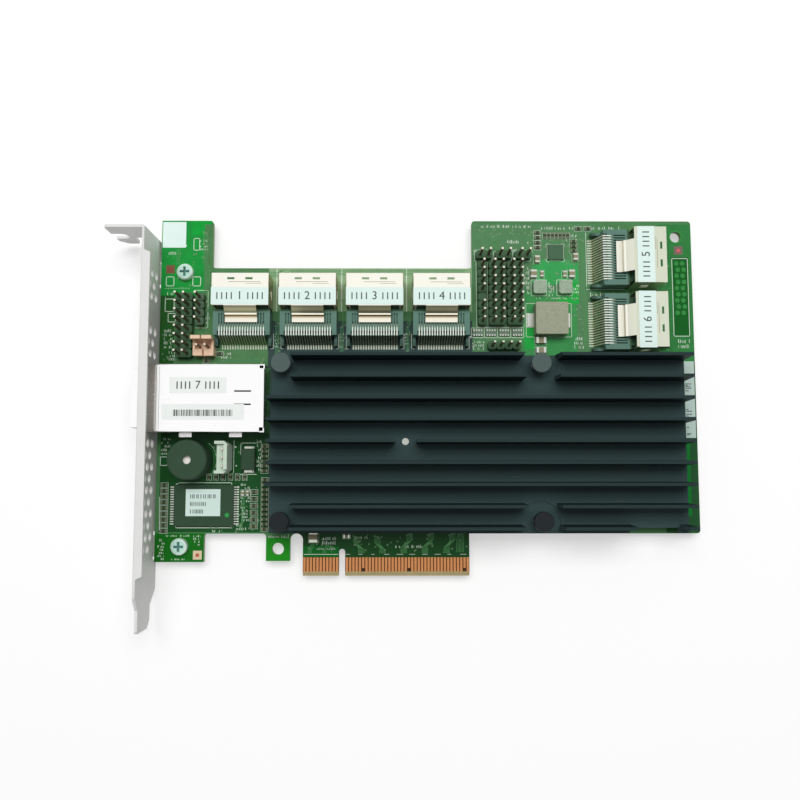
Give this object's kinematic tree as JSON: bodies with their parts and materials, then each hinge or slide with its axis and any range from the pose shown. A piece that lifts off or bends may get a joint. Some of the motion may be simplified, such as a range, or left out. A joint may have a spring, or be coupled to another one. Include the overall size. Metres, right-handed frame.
{
  "type": "raid controller card",
  "caption": "Full-height add-in circuit card with a long finned heat sink, drive-cable ports along two edges, an external port, a buzzer and a vented bracket.",
  "frame": {"origin": "centre of the key notch at the bottom edge of the gold fingers, halfway through the board", "axes": "+X from the bracket to the far end, +Y from the fingers to the top edge, +Z out of the component side"},
  "size_m": [0.1807, 0.1262, 0.0184],
  "materials": {
    "board": "green solder mask on glass laminate",
    "gold": "bright plating",
    "nickel_sheet": "plated sheet",
    "zinc_screw": "zinc plate",
    "black_aluminium": "black anodised extrusion",
    "bright_steel": "bright",
    "dark_nylon": "moulded nylon",
    "spring_steel": "drawn wire",
    "chip_plastic": "moulded package",
    "thermal_pad": "soft pad",
    "paper_label": "blank paper label",
    "bright_cage": "bright nickel sheet",
    "tin_cage": "tin-plated sheet",
    "beige_cage": "nickel-plated sheet",
    "port_moulding": "grey-black moulding",
    "black_moulding": "black moulding",
    "contact_metal": "plated spring contacts",
    "gasket_foam": "conductive foam",
    "buzzer_plastic": "moulded case",
    "buzzer_disc": "pale disc",
    "white_moulding": "white nylon",
    "cream_moulding": "cream nylon",
    "solder": "tinned",
    "ferrite_grey": "pressed powder, speckled",
    "ferrite_pale": "ground ferrite",
    "ceramic_tan": "fired ceramic with tinned ends",
    "resistor_black": "glazed film with tinned ends",
    "header_moulding": "moulded strip",
    "gold_pin": "square plated pins"
  },
  "bodies": {
    "root": {"bracket": "nickel_sheet", "bracket_screws": "zinc_screw", "buzzer_case": "buzzer_plastic", "buzzer_disc": "buzzer_disc", "chip_capacitors": "ceramic_tan", "chip_resistors": "resistor_black", "circuit_board": "board", "edge_contacts": "gold", "edge_label": "paper_label", "external_port_cage": "bright_cage", "external_port_contacts": "contact_metal", "external_port_gasket": "gasket_foam", "external_port_housing": "black_moulding", "external_port_labels": "paper_label", "fan_connector": "white_moulding", "far_headers": "header_moulding", "far_short_header": "header_moulding", "flash_chip": "chip_plastic", "flash_chip_label": "paper_label", "flash_chip_leads": "solder", "header_pins": "gold_pin", "heatsink": "black_aluminium", "heatsink_push_pins": "dark_nylon", "heatsink_rivet": "bright_steel", "heatsink_springs": "spring_steel", "jumper_headers": "header_moulding", "large_choke": "ferrite_grey", "left_header": "header_moulding", "left_short_header": "header_moulding", "memory_chips": "chip_plastic", "port_1_cage": "tin_cage", "port_1_contacts": "contact_metal", "port_1_housing": "port_moulding", "port_2_cage": "tin_cage", "port_2_contacts": "contact_metal", "port_2_housing": "port_moulding", "port_3_cage": "tin_cage", "port_3_contacts": "contact_metal", "port_3_housing": "port_moulding", "port_4_cage": "tin_cage", "port_4_contacts": "contact_metal", "port_4_housing": "port_moulding", "port_5_cage": "beige_cage", "port_5_contacts": "contact_metal", "port_5_housing": "port_moulding", "port_6_cage": "beige_cage", "port_6_contacts": "contact_metal", "port_6_housing": "port_moulding", "port_expander": "chip_plastic", "port_labels": "paper_label", "power_diode": "chip_plastic", "raid_processor": "chip_plastic", "regulator_chip": "chip_plastic", "resistor_arrays": "resistor_black", "shrouded_connector": "cream_moulding", "small_chokes": "ferrite_pale", "solder_tabs": "solder", "thermal_pads": "thermal_pad"}
  },
  "joints": []
}
